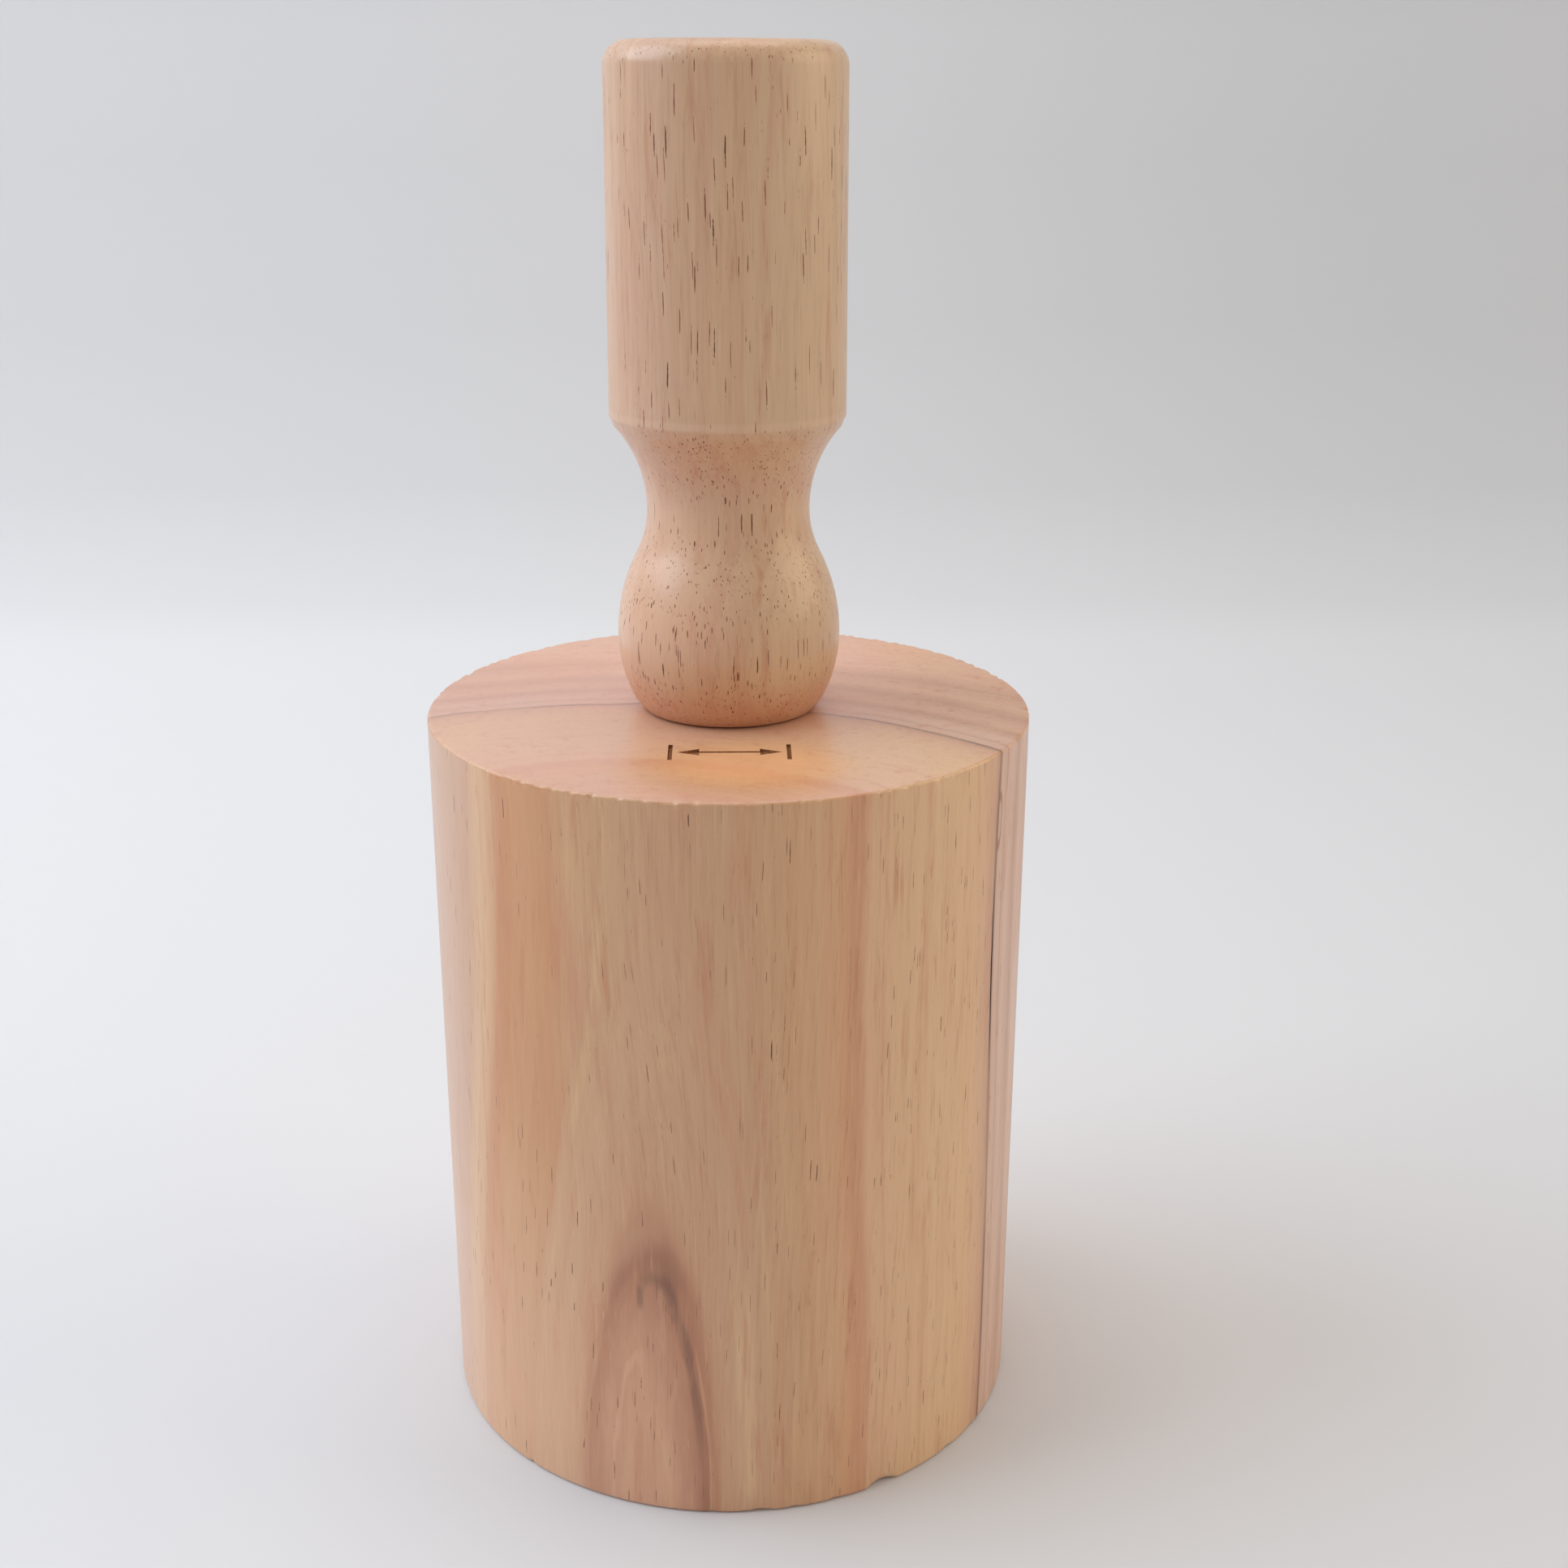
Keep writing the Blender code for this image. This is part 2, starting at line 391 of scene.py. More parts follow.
def head_dense(graph, place):
    """Where the head has more open vessels: high on the right of its front."""
    x, y, height = graph.split(place)
    return graph.within((x, 14.0, 22.0), (x, 37.0, 32.0), (height, 20.0, 60.0), (y, 0.0, -10.0))


def handle_rings(graph, place):
    x, y, height = graph.split(place)
    across = graph.add(x, -HANDLE_PITH_X, graph.times(height, -HANDLE_LEAN))
    away = graph.add(y, -HANDLE_PITH_Y)
    return graph.add(distance_from(graph, across, away), ring_waves(graph, place, HANDLE_WAVES))


def handle_grain(graph, place):
    _, _, height = graph.split(place)
    across = graph.times(height, HANDLE_LEAN)
    return wandered(graph, graph.moved(place, across, 0.0, 0.0), HANDLE_WANDER)


def handle_dense(graph, place):
    """Where the handle has more open vessels: low on the front of its bulb."""
    x, y, height = graph.split(place)
    above = graph.add(height, -HANDLE_FOOT)
    return graph.within((above, 2.0, 5.0), (above, 19.0, 14.0), (x, 6.0, -2.0), (y, 0.0, -6.0))


# Colours of the growth rings: ring distance in mm, display value
RING_REACH = 110.0

HEAD_TONES = (
    (0.0, (208, 150, 118)),
    (15.4, (208, 151, 119)),
    (16.5, (178, 116, 82)),
    (17.2, (170, 106, 73)),
    (17.8, (184, 122, 88)),
    (18.6, (204, 154, 119)),
    (21.5, (210, 165, 127)),
    (24.0, (209, 162, 123)),
    (28.0, (211, 163, 121)),
    (33.0, (218, 170, 126)),
    (35.6, (219, 164, 120)),
    (36.6, (214, 155, 114)),
    (38.0, (215, 157, 117)),
    (39.2, (225, 180, 138)),
    (50.0, (228, 187, 143)),
    (57.0, (228, 184, 138)),
    (60.6, (219, 172, 133)),
    (61.85, (205, 157, 124)),
    (62.0, (108, 56, 28)),
    (62.3, (108, 56, 28)),
    (62.5, (216, 174, 147)),
    (64.35, (219, 179, 154)),
    (64.6, (182, 130, 97)),
    (64.85, (219, 179, 155)),
    (66.5, (221, 180, 155)),
    (68.5, (200, 149, 117)),
    (71.0, (220, 172, 140)),
    (74.5, (202, 150, 116)),
    (78.0, (223, 175, 140)),
    (82.0, (204, 151, 116)),
    (87.0, (225, 176, 140)),
    (110.0, (221, 170, 132)),
)

HANDLE_TONES = (
    (0.0, (214, 168, 141)),
    (30.0, (222, 172, 146)),
    (37.0, (234, 184, 158)),
    (43.0, (219, 175, 143)),
    (46.0, (216, 172, 140)),
    (50.0, (210, 166, 136)),
    (54.0, (209, 168, 138)),
    (57.6, (208, 167, 134)),
    (61.0, (213, 172, 137)),
    (64.0, (214, 173, 137)),
    (67.9, (218, 183, 146)),
    (70.2, (210, 176, 140)),
    (75.0, (212, 173, 136)),
    (110.0, (211, 170, 135)),
)

# Blends over the ring tones, in display values
HEAD_BLENDS = {
    "pale": (225, 183, 136),
    "pink": (207, 143, 107),
    "light_fibre": (239, 198, 153),
    "dark_fibre": (172, 112, 72),
    "stain": (196, 124, 84),
    "vessel": (124, 66, 30),
    "deep_vessel": (72, 34, 14),
}
HANDLE_BLENDS = {
    "pale": (224, 188, 150),
    "pink": (199, 142, 116),
    "light_fibre": (236, 201, 168),
    "dark_fibre": (166, 111, 80),
    "stain": (192, 120, 86),
    "vessel": (130, 63, 24),
    "deep_vessel": (76, 31, 7),
}
# Vessels: where they show, spacing across, spacing along, radius as a share of the spacing,
# share shown, strength
HEAD_VESSELS = (
    ("all over", 0.42, 12.0, 0.14, 0.6, 0.62),
    ("all over", 0.9, 18.0, 0.1, 0.32, 0.9),
    ("dense", 0.45, 10.0, 0.15, 0.55, 0.6),
    ("sloping", 0.5, 3.0, 0.14, 0.3, 0.8),
)
HANDLE_VESSELS = (
    ("all over", 0.47, 12.5, 0.175, 0.78, 0.85),
    ("all over", 0.9, 19.0, 0.13, 0.7, 1.0),
    ("dense", 0.46, 14.0, 0.19, 0.95, 1.0),
    ("dense", 0.72, 17.0, 0.13, 0.9, 1.0),
    ("sloping", 0.42, 2.4, 0.16, 0.5, 0.85),
)
FLECKS = (0.7, 9.0, 0.1, 0.4)

# Scales of the noises in the wood, across the grain twice and along it, per mm
BAND_SCALE = (0.12, 0.12, 0.02)
FIBRE_SCALE = (1.5, 1.5, 0.05)
HAIR_SCALE = (4.5, 4.5, 0.14)
STAIN_SCALE = (0.6, 0.6, 0.06)
THREAD_SCALE = (3.2, 3.2, 0.035)
LACQUER_SCALE = (0.08, 0.08, 0.04)

LACQUER_ROUGHNESS = (0.33, 0.43)
COAT_WEIGHT = 0.42
COAT_ROUGHNESS = 0.23

# Lines and shades that follow the rings of the arch: where, ring distance, half width, share,
# colour
ARCH_LINES = (
    ("left shade", 15.9, 1.9, 0.4, (172, 108, 78)),
    ("right shade", 15.7, 1.6, 0.35, (160, 98, 70)),
    ("top", 17.3, 0.9, 0.45, (132, 80, 54)),
    ("right line", 16.75, 0.52, 0.72, (102, 52, 32)),
    ("above", 16.6, 2.6, 0.7, (205, 155, 120)),
    ("left", 15.0, 0.2, 0.3, (230, 184, 150)),
    ("right foot", 17.35, 0.16, 0.35, (226, 176, 138)),
)
# A dark spot at the tip of the arch: place across, half width, height, half height
ARCH_HOOK = (-12.7, 0.7, 34.6, 2.6)

# Single streaks down the side of the head: place across at STREAK_LEVEL, lean to the left per mm
# of height, half width, heights between which they come in and go out, share, colour
STREAK_LEVEL = 30
STREAKS = (
    (-16.8, 0.10, 3.0, (70, 80), (99, 90), 0.42, (202, 130, 98)),
    (-12.5, 0.12, 1.3, (52, 60), (90, 78), 0.35, (186, 120, 88)),
    (-33.6, 0.00, 1.8, (4, 12), (58, 40), 0.45, (198, 120, 78)),
    (1.6, 0.03, 2.2, (0, 6), (48, 26), 0.40, (236, 200, 150)),
    (-30.5, 0.00, 2.6, (56, 64), (104, 96), 0.30, (190, 116, 70)),
    (25.5, 0.00, 1.4, (30, 42), (88, 70), 0.30, (196, 128, 84)),
)

# Small loop in the grain on the right of the head: ring distance, height and half sizes, in mm
KNOT_RING = 62.75
KNOT_HEIGHT = 97.0
KNOT_HALF_RING = 0.62
KNOT_HALF_HEIGHT = 3.6

# Bands over the height of the handle, two of them painted highlights: where, height above its
# foot, half width, share, colour
HANDLE_BANDS_AND_HIGHLIGHTS = (
    # Pale ring at the ridge: wear, with a painted highlight on the edge
    ("all round", 42.0, 0.9, 0.2, (240, 206, 176)),
    ("all round", 36.0, 8.0, 0.18, (196, 134, 104)),
    # Paler left of the bulb: a painted highlight
    ("left", 20.0, 15.0, 0.34, (250, 200, 166)),
    ("all round", 0.0, 8.0, 0.45, (208, 134, 92)),
)

# Painted shade on the paper sweep over its height in mm, as display values to multiply by
SWEEP_REACH = 220
SWEEP_PAINTED_SHADE = ((0, 255), (6, 253), (14, 246), (45, 236), (100, 235), (161, 241), (210, 250))

# Soft lights: name, place, target, size, power, colour
SOFT_LIGHTS = (
    ("window", (-0.9, 0.02, 0.85), (0, 0, 0.08), (1.0, 0.9), 9.1, (0.77, 0.88, 1.0)),
    ("fill", (0.95, 0.05, 0.5), (0, 0, 0.06), (0.8, 0.7), 3.1, (1.0, 0.82, 0.60)),
    ("overhead", (0.0, 0.25, 1.2), (0, 0.05, 0.1), (0.9, 0.6), 3.0, (1.0, 0.97, 0.94)),
)
WORLD_COLOUR = (0.87, 0.84, 0.81, 1.0)
WORLD_STRENGTH = 0.58


def vessel_holes(graph, place, vessels, zones):
    """How deep the surface lies in an open vessel, 0 to 1. zones says where each kind shows."""
    holes = 0.0
    for where, pitch, run, radius, share, strength in vessels:
        some = graph.times(pores(graph, place, pitch, run, radius, share), strength, zones[where])
        holes = graph.math("MAXIMUM", holes, some)
    return holes


def wood_material(name, rings_of, grain_of, dense_of, tones, blends, vessels, marks):
    """Lacquered hardwood in the solid. rings_of gives the ring distance at a place, in mm."""
    graph = Graph(name)
    place = graph.place_in_mm()
    rings = rings_of(graph, place)
    along = grain_of(graph, place)
    slope, end = graph.slopes()
    stops = [(distance / RING_REACH, srgb(*tone)) for distance, tone in tones]
    colour = graph.ramp(graph.times(rings, 1 / RING_REACH), stops)

    def blend(factor, key):
        return graph.mix(factor, colour, srgb(*blends[key]))

    bands = graph.add(
        graph.centred(graph.noise_along(rings, 0.55, 4.0, 0.65), 0.5),
        graph.centred(graph.noise(graph.scaled(place, BAND_SCALE), 3.0), 0.5),
    )
    colour = blend(graph.remap(bands, 0.0, 0.45, 0.0, 0.55), "pale")
    colour = blend(graph.remap(bands, 0.0, -0.45, 0.0, 0.45), "pink")

    fibres = graph.noise(graph.scaled(along, FIBRE_SCALE), 3.0, 0.6)
    hairs = graph.noise(graph.scaled(along, HAIR_SCALE), 3.0, 0.7)
    grain = graph.add(graph.centred(fibres, 0.5), graph.centred(hairs, 0.5))
    colour = blend(graph.remap(grain, 0.0, 0.5, 0.0, 0.35), "light_fibre")
    colour = blend(graph.remap(grain, 0.0, -0.5, 0.0, 0.50), "dark_fibre")
    stain = graph.noise(graph.scaled(along, STAIN_SCALE), 3.0)
    colour = blend(graph.remap(stain, 0.56, 0.76, 0.0, 0.45), "stain")
    thread = graph.noise(graph.scaled(along, THREAD_SCALE), 1.0)
    threads = graph.times(band(graph, thread, 0.5, 0.02), graph.remap(stain, 0.45, 0.6))
    colour = blend(graph.times(threads, 0.4), "dark_fibre")
    colour = blend(graph.times(pores(graph, along, *FLECKS), 0.4), "light_fibre")
    colour = marks(graph, place, rings, colour, end)

    zones = {"all over": 0.95, "dense": dense_of(graph, place), "sloping": slope}
    holes = vessel_holes(graph, along, vessels, zones)
    holes = graph.times(holes, graph.remap(end, 0.0, 1.0, 1.0, 0.3))
    colour = blend(graph.remap(holes, 0.0, 0.6, 0.0, 0.9), "vessel")
    colour = blend(graph.remap(holes, 0.6, 1.0), "deep_vessel")

    graph.feed(graph.shader.inputs["Base Color"], colour)
    patches = graph.noise(graph.scaled(place, LACQUER_SCALE), 3.0)
    roughness = graph.remap(patches, 0.3, 0.7, *LACQUER_ROUGHNESS)
    graph.feed(graph.shader.inputs["Roughness"], roughness)
    height = graph.add(graph.times(grain, 0.25), graph.times(holes, -1.0))
    graph.feed(graph.shader.inputs["Normal"], graph.bump(height, 0.35, 0.00012))
    graph.shader.inputs["Coat Weight"].default_value = COAT_WEIGHT
    graph.shader.inputs["Coat Roughness"].default_value = COAT_ROUGHNESS
    return graph.material


def uneven_along(graph, place, scale, limits, least):
    """A mask between the least and 1 that comes and goes along the grain."""
    texture = graph.noise(graph.scaled(place, scale), 3.0)
    return graph.remap(texture, *limits, least, 1.0)


def arch_marks(graph, place, rings, colour):
    """Lines and shades round the arch that the innermost ring makes low on the front."""
    x, _, height = graph.split(place)
    uneven = uneven_along(graph, place, (0.5, 0.5, 0.12), (0.35, 0.6), 0.35)
    left = graph.within((x, -11.8, -13.8), (height, 40.0, 37.0))
    right = graph.within((x, -13.2, -11.8), (height, 40.0, 37.0))
    sideways = graph.add(x, -ARCH_MIDDLE)
    rounded = graph.add(height, graph.times(sideways, sideways, 0.13))
    fading = graph.remap(height, 6.0, 24.0, 0.35, 1.0)
    places = {
        "left": left,
        "left shade": graph.times(left, uneven),
        "right shade": graph.times(right, uneven),
        "right line": graph.times(right, uneven, fading),
        "right foot": graph.times(right, graph.remap(height, 30.0, 22.0)),
        "top": graph.times(graph.remap(height, 31.0, 38.0), uneven),
        "above": graph.remap(rounded, 40.5, 47.0),
    }
    for where, middle, half, share, tone in ARCH_LINES:
        share_here = graph.times(band(graph, rings, middle, half), share, places[where])
        colour = graph.mix(share_here, colour, srgb(*tone))
    across, half_width, level, half_height = ARCH_HOOK
    tip = graph.times(band(graph, x, across, half_width), band(graph, height, level, half_height))
    return graph.mix(graph.times(tip, 0.6), colour, srgb(96, 50, 32))


def streak_marks(graph, place, colour):
    """Single streaks on the side that faces forward."""
    x, y, height = graph.split(place)
    front = graph.remap(y, 0.0, -10.0)
    uneven = uneven_along(graph, place, (1.0, 1.0, 0.1), (0.4, 0.62), 0.2)
    for across, lean, half, lower, upper, share, tone in STREAKS:
        upright = graph.add(x, graph.times(height, lean), -STREAK_LEVEL * lean)
        ends = graph.within((height, *lower), (height, *upper))
        share_here = graph.times(band(graph, upright, across, half), ends, uneven, front, share)
        colour = graph.mix(share_here, colour, srgb(*tone))
    return colour


def knot_mark(graph, place, rings, colour):
    """A small loop in the grain on the right, just above the crack."""
    x, y, height = graph.split(place)
    across = graph.times(graph.add(rings, -KNOT_RING), 1 / KNOT_HALF_RING)
    along = graph.times(graph.add(height, -KNOT_HEIGHT), 1 / KNOT_HALF_HEIGHT)
    loop = band(graph, distance_from(graph, across, along), 1.0, 0.32)
    right = graph.within((x, 26.0, 30.0), (y, 0.0, -6.0))
    return graph.mix(graph.times(loop, right, 0.7), colour, srgb(150, 84, 46))


def side_shades(graph, place, rings, colour, end):
    """The browner band and the paler edge on the left of the head, that edge a painted sheen, and
    its paler foot.
    """
    x, _, height = graph.split(place)
    left = graph.within((x, -20.5, -25.0), (end, 1.0, 0.0))
    brown = graph.times(left, graph.within((rings, 25.8, 26.2), (rings, 42.0, 36.0)))
    brown = graph.times(brown, graph.remap(height, 15.0, 60.0, 0.35, 1.0))
    colour = graph.mix(graph.times(brown, 0.55), colour, srgb(204, 140, 92))
    edge = graph.times(left, band(graph, rings, 26.0, 0.25), graph.remap(height, 56.0, 82.0))
    colour = graph.mix(graph.times(edge, 0.6), colour, srgb(150, 92, 58))
    # Painted sheen: the far left edge greyer and pinker, where the light grazes it
    pale = graph.times(left, graph.remap(rings, 41.0, 45.0))
    colour = graph.mix(graph.times(pale, 0.6), colour, srgb(203, 154, 132))
    foot = graph.within((height, 68.0, 6.0), (x, 12.0, -28.0))
    return graph.mix(graph.times(foot, 0.35), colour, srgb(244, 198, 164))


def top_painted_reflections_and_tone(graph, place, colour, end):
    """Painted reflections on the top face: the warm reflection of the handle round the engraved
    mark, a paler pink sheen away from it, and the whole top a little darker.
    """
    x, y, _ = graph.split(place)
    across = graph.add(x, -3.0)
    away = graph.add(y, 28.0)
    spread = graph.add(graph.times(across, across, 0.5), graph.times(away, away))
    spread = graph.math("SQRT", spread)
    top = graph.remap(end, 0.5, 1.0)
    # Painted reflection of the handle in the lacquer, warm round the mark
    handle_reflection = graph.times(graph.remap(spread, 12.0, 3.0), top)
    colour = graph.mix(graph.times(handle_reflection, 0.55), colour, srgb(255, 190, 136))
    # Painted sheen: the top paler and pinker away from the handle's reflection, towards the left
    painted_sheen = graph.times(graph.remap(spread, 7.0, 15.0), top, graph.remap(x, 34.0, 8.0))
    colour = graph.mix(graph.times(painted_sheen, 0.38), colour, srgb(240, 192, 180))
    return graph.mix(top, colour, srgb(247, 243, 241), "MULTIPLY")


def head_marks(graph, place, rings, colour, end):
    """All that single places of the head show beyond the even run of its wood."""
    colour = streak_marks(graph, place, colour)
    colour = arch_marks(graph, place, rings, colour)
    colour = knot_mark(graph, place, rings, colour)
    colour = side_shades(graph, place, rings, colour, end)
    return top_painted_reflections_and_tone(graph, place, colour, end)


def handle_marks(graph, place, _rings, colour, _end):
    """The worn ridge with a painted highlight, the redder cove, a painted highlight on the left of
    the bulb and the warmer foot.
    """
    x, _, height = graph.split(place)
    above = graph.add(height, -HANDLE_FOOT)
    places = {"all round": 1.0, "left": graph.remap(x, 4.0, -8.0)}
    for where, middle, half, share, tone in HANDLE_BANDS_AND_HIGHLIGHTS:
        share_here = graph.times(band(graph, above, middle, half), share, places[where])
        colour = graph.mix(share_here, colour, srgb(*tone))
    return colour


def head_material():
    return wood_material(
        "head_lacquered_wood",
        head_rings,
        head_grain,
        head_dense,
        HEAD_TONES,
        HEAD_BLENDS,
        HEAD_VESSELS,
        head_marks,
    )


def handle_material():
    return wood_material(
        "handle_lacquered_wood",
        handle_rings,
        handle_grain,
        handle_dense,
        HANDLE_TONES,
        HANDLE_BLENDS,
        HANDLE_VESSELS,
        handle_marks,
    )


def dowel_material():
    graph = Graph("dowel_bare_wood")
    place = graph.place_in_mm()
    fibres = graph.noise(graph.scaled(place, (2.5, 2.5, 0.09)), 3.0, 0.6)
    colour = graph.ramp(fibres, [(0.3, srgb(186, 142, 98)), (0.7, srgb(222, 186, 140))])
    graph.feed(graph.shader.inputs["Base Color"], colour)
    graph.feed(graph.shader.inputs["Roughness"], graph.remap(fibres, 0.3, 0.7, 0.55, 0.7))
    graph.feed(graph.shader.inputs["Normal"], graph.bump(fibres, 0.3, 0.0001))
    return graph.material


def burnt_material():
    graph = Graph("burnt_mark")
    place = graph.place_in_mm()
    char = graph.noise(graph.scaled(place, (2.2, 2.2, 2.2)), 4.0, 0.6)
    colour = graph.ramp(char, [(0.3, srgb(122, 74, 42)), (0.7, srgb(176, 120, 76))])
    graph.feed(graph.shader.inputs["Base Color"], colour)
    graph.feed(graph.shader.inputs["Roughness"], graph.remap(char, 0.3, 0.7, 0.5, 0.75))
    graph.feed(graph.shader.inputs["Normal"], graph.bump(char, 0.4, 0.0001))
    return graph.material


def crack_shadow_material():
    graph = Graph("crack_painted_shadow")
    # The inside of the crack painted dark brown: a painted shadow in the crack
    place = graph.place_in_mm()
    torn = graph.noise(graph.scaled(place, (5.0, 5.0, 0.6)), 3.0, 0.6)
    colour = graph.ramp(torn, [(0.3, srgb(44, 24, 12)), (0.7, srgb(92, 54, 30))])
    graph.feed(graph.shader.inputs["Base Color"], colour)
    graph.feed(graph.shader.inputs["Roughness"], graph.remap(torn, 0.3, 0.7, 0.7, 0.9))
    graph.feed(graph.shader.inputs["Normal"], graph.bump(torn, 0.4, 0.0001))
    return graph.material


# ------------------------------------------------------------------- geometry


def arc(centre, radius, start, end):
    """Points of an arc in (radius, height), both ends included, at even angles."""
    steps = max(2, math.ceil(abs(end - start) / CURVE_STEP))
    points = []
    for i in range(steps + 1):
        angle = start + (end - start) * i / steps
        points.append((centre[0] + radius * math.cos(angle), centre[1] + radius * math.sin(angle)))
    return points


def line(start, end, steps):
    points = []
    for i in range(steps + 1):
        share = i / steps
        points.append(tuple(a + (b - a) * share for a, b in zip(start, end)))
    return points


def joined(*runs):
    """One outline from several, without a point twice in a row."""
    outline = []
    for point in (p for run in runs for p in run):
        if not outline or math.dist(point, outline[-1]) > MERGE_DISTANCE:
            outline.append(point)
    return outline


def bore(mouth_height, direction):
    """Outline of the drilled bore that holds half of the dowel, from its point to its mouth."""
    point_length = BORE_RADIUS / math.tan(DRILL_POINT_ANGLE / 2)
    floor = mouth_height - direction * BORE_DEPTH
    return [
        (0, floor - direction * point_length),
        (BORE_RADIUS, floor),
        (BORE_RADIUS, mouth_height - direction * BORE_MOUTH_CHAMFER),
        (BORE_RADIUS + BORE_MOUTH_CHAMFER, mouth_height),
    ]


def turned(outline, segments):
    """A bmesh turned about Z from an outline of (radius, height) whose ends lie on the axis."""
    bm = bmesh.new()
    verts = [bm.verts.new((radius, 0, height)) for radius, height in outline]
    edges = [bm.edges.new(pair) for pair in zip(verts, verts[1:])]
    bmesh.ops.spin(
        bm,
        geom=verts + edges,
        cent=(0, 0, 0),
        axis=(0, 0, 1),
        angle=math.tau,
        steps=segments,
        use_merge=True,
    )
    bmesh.ops.remove_doubles(bm, verts=bm.verts, dist=MERGE_DISTANCE)
    bmesh.ops.recalc_face_normals(bm, faces=bm.faces)
    return bm


def placed(bm, name, *materials):
    mesh = bpy.data.meshes.new(name)
    bm.to_mesh(mesh)
    bm.free()
    mesh.shade_smooth()
    mesh.set_sharp_from_angle(angle=SHARP_ANGLE)
    for material in materials:
        mesh.materials.append(material)
    piece = bpy.data.objects.new(name, mesh)
    bpy.context.scene.collection.objects.link(piece)
    return piece


def chip(bm, radius, height, reach, chips, down):
    """Tears small splinters out of a rim: each chip is (angle, half width, depth)."""
    for vert in bm.verts:
        spread = math.hypot(vert.co.x, vert.co.y)
        off = math.hypot(spread - radius, vert.co.z - height)
        if spread < radius / 2 or off > reach:
            continue
        angle = math.atan2(vert.co.y, vert.co.x)
        depth = 0.0
        for middle, half, deepest in chips:
            gap = abs(math.remainder(angle - middle, math.tau)) * radius
            depth = max(depth, deepest * max(0.0, 1 - (gap / half) ** 2))
        depth *= 1 - off / reach
        inward = Vector((-math.cos(angle), -math.sin(angle), down))
        vert.co += inward * depth / math.sqrt(2)


def random_chips(rng, count, widest, deepest):
    chips = []
    for _ in range(count):
        angle = rng.uniform(-math.pi, math.pi)
        half = widest * rng.uniform(0.4, 1.0)
        chips.append((angle, half, deepest * rng.uniform(0.3, 1.0)))
    return chips


def head_outline(radius, height):
    """Outline of the head from the point of its bore to the middle of its striking face."""
    upper, lower = HEAD_TOP_FILLET, HEAD_BOTTOM_FILLET
    mouth = BORE_RADIUS + BORE_MOUTH_CHAMFER
    top = line((mouth, height), (radius - upper - RIM_STRIP, height), 6)
    top_rim = joined(
        line(top[-1], (radius - upper, height), 4),
        arc((radius - upper, height - upper), upper, math.pi / 2, 0),
        line((radius, height - upper), (radius, height - upper - RIM_STRIP), 4),
    )[1:]
    side = line(top_rim[-1], (radius, lower + RIM_STRIP), 12)
    bottom_rim = joined(
        line(side[-1], (radius, lower), 4),
        arc((radius - lower, lower), lower, 0, -math.pi / 2),
        line((radius - lower, 0), (radius - lower - RIM_STRIP, 0), 4),
    )
    return joined(bore(height, 1), top, top_rim, side, bottom_rim, [(0, 0)])


def bulb_and_neck():
    """The bulb above the base and the waist over it, as arcs that run into each other smoothly."""
    drop = BULB_RADIUS - NECK_RADIUS
    rise = NECK_HEIGHT - BULB_HEIGHT
    both_curves = (drop**2 + rise**2) / (2 * drop)
    turn = math.asin(rise / both_curves)
    neck_below = both_curves - BULB_CURVE_ABOVE
    neck_middle = NECK_RADIUS + NECK_CURVE_ABOVE
    base_reach = BASE_RADIUS - (BULB_RADIUS - BULB_CURVE_BELOW)
    base_angle = -math.acos(base_reach / BULB_CURVE_BELOW)
    cove_reach = neck_middle - COVE_END_RADIUS
    cove_angle = math.acos(cove_reach / NECK_CURVE_ABOVE)
    return joined(
        arc((BULB_RADIUS - BULB_CURVE_BELOW, BULB_HEIGHT), BULB_CURVE_BELOW, base_angle, 0),
        arc((BULB_RADIUS - BULB_CURVE_ABOVE, BULB_HEIGHT), BULB_CURVE_ABOVE, 0, turn),
        arc((NECK_RADIUS + neck_below, NECK_HEIGHT), neck_below, math.pi + turn, math.pi),
        arc((neck_middle, NECK_HEIGHT), NECK_CURVE_ABOVE, math.pi, math.pi - cove_angle),
    )


def handle_outline(length):
    """Outline of the handle from the point of its bore to the middle of its end."""
    profile = bulb_and_neck()
    base = [(profile[0][0] - BASE_CHAMFER, 0), (profile[0][0], BASE_CHAMFER)]
    body = [point for point in profile if point[1] > 2 * BASE_CHAMFER]
    soft = RIDGE_SOFTENING
    ridge = [
        (GRIP_START_RADIUS - 0.6 * soft, GRIP_START_HEIGHT - 0.4 * soft),
        (GRIP_START_RADIUS - 0.1 * soft, GRIP_START_HEIGHT + 0.3 * soft),
        (GRIP_START_RADIUS, GRIP_START_HEIGHT + soft),
    ]
    grip_end = (GRIP_END_RADIUS, length - GRIP_ROUND_OVER)
    grip = line(ridge[-1], grip_end, 16)
    flat = GRIP_END_RADIUS - GRIP_ROUND_OVER
    round_over = arc((flat, grip_end[1]), GRIP_ROUND_OVER, 0, math.pi / 2)
    top = line(round_over[-1], (0.002, length), 5)
    return joined(bore(0, -1), base, body, ridge, grip, round_over, top, [(0, length)])


def prism(bm, outline, low, high):
    """Adds a closed prism that stands on an outline of (x, y)."""
    lower = [bm.verts.new((x, y, low)) for x, y in outline]
    upper = [bm.verts.new((x, y, high)) for x, y in outline]
    bm.faces.new(list(reversed(lower)))
    bm.faces.new(upper)
    for i in range(len(outline)):
        j = (i + 1) % len(outline)
        bm.faces.new((lower[i], lower[j], upper[j], upper[i]))


